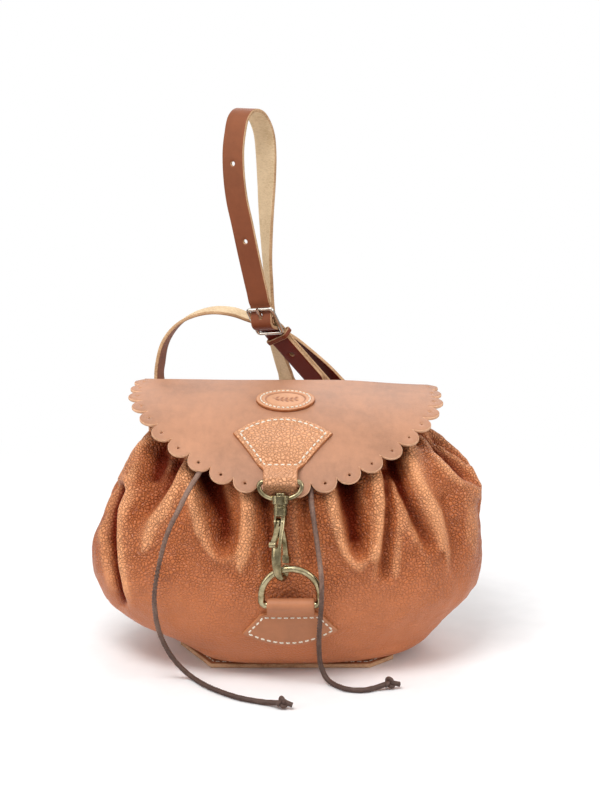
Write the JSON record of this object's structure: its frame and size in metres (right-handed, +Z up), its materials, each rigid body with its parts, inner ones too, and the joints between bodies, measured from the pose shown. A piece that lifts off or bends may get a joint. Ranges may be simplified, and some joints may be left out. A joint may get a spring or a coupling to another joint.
{
  "type": "gathered leather shoulder bag",
  "caption": "Gathered leather drawstring shoulder bag with a scalloped fold-over flap, swivel trigger hook, front ring, drawcord and buckled strap.",
  "frame": {"origin": "centre of the underside of the base panel, on the surface it stands on", "axes": "+Z up, +Y towards the back panel, +X to the right seen from the front"},
  "size_m": [0.26, 0.2218, 0.3552],
  "materials": {
    "pebbled_leather": "pebbled",
    "smooth_leather": "smooth matte",
    "strap_leather": "smooth satin",
    "waxed_cord": "waxed braid",
    "antique_brass": "aged satin",
    "nickel": "polished"
  },
  "bodies": {
    "bag": {"pouch_shell": "pebbled_leather", "back_panel": "smooth_leather", "base_panel": "smooth_leather", "front_tab": "smooth_leather", "drawcord": "waxed_cord", "strap_anchor_left": "strap_leather", "strap_anchor_right": "strap_leather"},
    "front_ring": {"front_d_ring": "antique_brass"},
    "flap": {"flap": "smooth_leather", "flap_badge": "smooth_leather", "flap_tab": "pebbled_leather"},
    "eye": {"swivel_eye": "antique_brass"},
    "hook": {"hook_body": "antique_brass", "gate_pin": "antique_brass", "gate_spring": "antique_brass"},
    "gate": {"gate_lever": "antique_brass"},
    "strap": {"strap_long": "strap_leather", "strap_short": "strap_leather", "buckle_frame": "nickel"},
    "prong": {"buckle_prong": "nickel"},
    "keeper": {"strap_keeper": "strap_leather"},
    "cord_left_top": {"cord_left_upper": "waxed_cord"},
    "cord_left_end": {"cord_left_lower": "waxed_cord"},
    "cord_right_top": {"cord_right_upper": "waxed_cord"},
    "cord_right_end": {"cord_right_lower": "waxed_cord"}
  },
  "joints": [
    {"name": "flap_hinge", "type": "hinge", "parent": "bag", "child": "flap", "pos_m": [0, 0.055, 0.163], "axis": [-1, 0, 0], "range_deg": [0, 80], "stiffness_Nm_per_rad": 0.02},
    {"name": "eye_swing", "type": "hinge", "parent": "flap", "child": "eye", "pos_m": [-0.0023, -0.0796, 0.1363], "axis": [-1, 0, 0], "range_deg": [0, 90]},
    {"name": "hook_swivel", "type": "hinge", "parent": "eye", "child": "hook", "pos_m": [-0.0023, -0.0818, 0.12552], "axis": [0, -0.2, -0.9798], "range_deg": [-6, 12]},
    {"name": "gate_pivot", "type": "hinge", "parent": "hook", "child": "gate", "pos_m": [-0.00212, -0.08429, 0.11154], "axis": [-0.891, 0.4448, -0.0908], "range_deg": [0, 10], "stiffness_Nm_per_rad": 0.01, "springref_deg": -11.46},
    {"name": "ring_swing", "type": "hinge", "parent": "bag", "child": "front_ring", "pos_m": [0.0041, -0.087, 0.0582], "axis": [-1, 0, 0], "range_deg": [0, 3]},
    {"name": "strap_swing", "type": "hinge", "parent": "bag", "child": "strap", "pos_m": [0, 0.065, 0.106], "axis": [-1, 0, 0], "range_deg": [0, 80], "stiffness_Nm_per_rad": 0.15},
    {"name": "prong_hinge", "type": "hinge", "parent": "strap", "child": "prong", "pos_m": [-0.0142, 0.068, 0.2104], "axis": [0.8714, -0.4706, 0.139], "range_deg": [0, 70]},
    {"name": "keeper_slide", "type": "slide", "parent": "strap", "child": "keeper", "axis": [0.6194, 0.1998, -0.7592], "range_m": [0, 0.012]},
    {"name": "cord_left_swing", "type": "hinge", "parent": "bag", "child": "cord_left_top", "pos_m": [-0.0584, -0.0615, 0.131], "axis": [-1, 0, 0], "range_deg": [0, 60], "stiffness_Nm_per_rad": 0.004},
    {"name": "cord_left_bend", "type": "hinge", "parent": "cord_left_top", "child": "cord_left_end", "pos_m": [-0.0785, -0.0588, 0.0062], "axis": [-0.3489, -0.9371, 0], "range_deg": [0, 60], "stiffness_Nm_per_rad": 0.002},
    {"name": "cord_right_swing", "type": "hinge", "parent": "bag", "child": "cord_right_top", "pos_m": [0.0142, -0.069, 0.124], "axis": [-1, 0, 0], "range_deg": [0, 60], "stiffness_Nm_per_rad": 0.004},
    {"name": "cord_right_bend", "type": "hinge", "parent": "cord_right_top", "child": "cord_right_end", "pos_m": [0.025, -0.0658, 0.0066], "axis": [-0.1483, -0.9889, 0], "range_deg": [0, 38], "stiffness_Nm_per_rad": 0.002}
  ]
}
